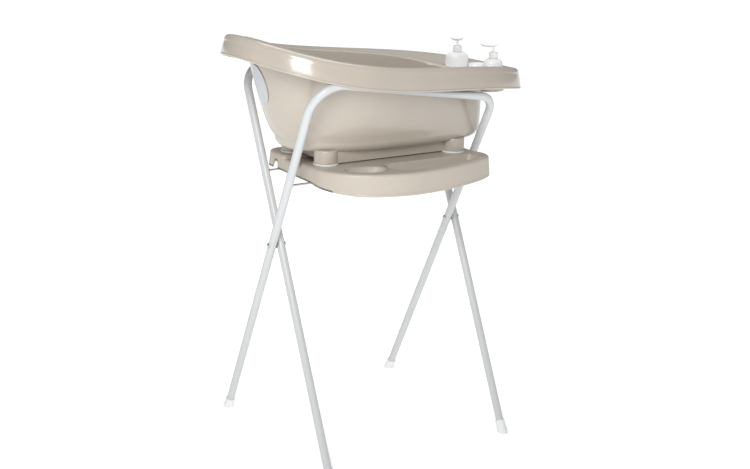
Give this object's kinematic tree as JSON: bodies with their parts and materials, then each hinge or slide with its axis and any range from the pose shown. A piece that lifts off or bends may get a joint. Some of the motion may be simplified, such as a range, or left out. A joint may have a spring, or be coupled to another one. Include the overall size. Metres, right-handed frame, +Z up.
{
  "type": "baby bathtub on folding stand",
  "caption": "Baby bathtub with a raised head end, standing on a clip-on storage tray in a folding scissor stand of bent tube.",
  "frame": {"origin": "on the floor, under the centre of the whole object", "axes": "+X from the raised head end to the foot end, +Y to the back (away from the tray's bowed front), +Z up"},
  "size_m": [0.8854, 0.5792, 1.121],
  "materials": {
    "taupe_gloss": "glossy moulded polypropylene",
    "taupe_satin": "satin moulded polypropylene",
    "white_paint": "powder coated steel tube",
    "white_plastic": "satin moulded",
    "zinc": "zinc plated",
    "label_film": "printed film",
    "soap_lilac": "smooth soap"
  },
  "bodies": {
    "pivots": {"pivot_rivet_head": "zinc", "pivot_spacer_head": "zinc", "pivot_rivet_foot": "zinc", "pivot_spacer_foot": "zinc"},
    "frame_a": {"frame_a_tube": "white_paint", "rod_a": "zinc", "foot_cap_a_head": "white_plastic", "foot_cap_a_foot": "white_plastic"},
    "frame_b": {"frame_b_tube": "white_paint", "rod_b": "zinc", "foot_cap_b_head": "white_plastic", "foot_cap_b_foot": "white_plastic"},
    "tray": {"tray": "taupe_satin"},
    "tub": {"tub_shell": "taupe_gloss", "pillar_pad_head_near": "white_plastic", "pillar_pad_head_far": "white_plastic", "pillar_pad_foot_near": "white_plastic", "pillar_pad_foot_far": "white_plastic", "head_label": "label_film"},
    "bottle_far": {"bottle_far": "white_plastic", "pump_collar_far": "white_plastic"},
    "pump_far": {"pump_head_far": "white_plastic"},
    "bottle_near": {"bottle_near": "white_plastic", "pump_collar_near": "white_plastic"},
    "pump_near": {"pump_head_near": "white_plastic"},
    "soap_dish": {"soap_dish": "white_plastic", "soap_bar": "soap_lilac"}
  },
  "joints": [
    {"name": "fold_a", "type": "hinge", "parent": "pivots", "child": "frame_a", "pos_m": [0, 0, 0.574], "axis": [-1, 0, 0], "range_deg": [0, 23]},
    {"name": "fold_b", "type": "hinge", "parent": "pivots", "child": "frame_b", "pos_m": [0, 0, 0.574], "axis": [1, 0, 0], "range_deg": [0, 23.1]},
    {"name": "tray_swing", "type": "hinge", "parent": "frame_a", "child": "tray", "pos_m": [0, -0.0851, 0.75322], "axis": [1, 0, 0], "range_deg": [0, 83.2]},
    {"name": "tub_lift", "type": "slide", "parent": "pivots", "child": "tub", "axis": [0, 0, 1], "range_m": [0, 0.964]},
    {"name": "bottle_far_lift", "type": "slide", "parent": "tub", "child": "bottle_far", "axis": [0, 0, 1], "range_m": [0, 0.12]},
    {"name": "bottle_near_lift", "type": "slide", "parent": "tub", "child": "bottle_near", "axis": [0, 0, 1], "range_m": [0, 0.12]},
    {"name": "pump_far_press", "type": "slide", "parent": "bottle_far", "child": "pump_far", "axis": [0, 0, -1], "range_m": [0, 0.008], "stiffness_N_per_m": 1200},
    {"name": "pump_near_press", "type": "slide", "parent": "bottle_near", "child": "pump_near", "axis": [0, 0, -1], "range_m": [0, 0.008], "stiffness_N_per_m": 1200},
    {"name": "soap_dish_lift", "type": "slide", "parent": "tub", "child": "soap_dish", "axis": [0, 0, 1], "range_m": [0, 0.06]}
  ],
  "couplings": [
    {"joint": "fold_b", "follows": "fold_a", "ratio": 1},
    {"joint": "tray_swing", "follows": "fold_a", "ratio": 3.6087},
    {"joint": "tub_lift", "follows": "fold_a", "m_per_rad": 2.4}
  ]
}
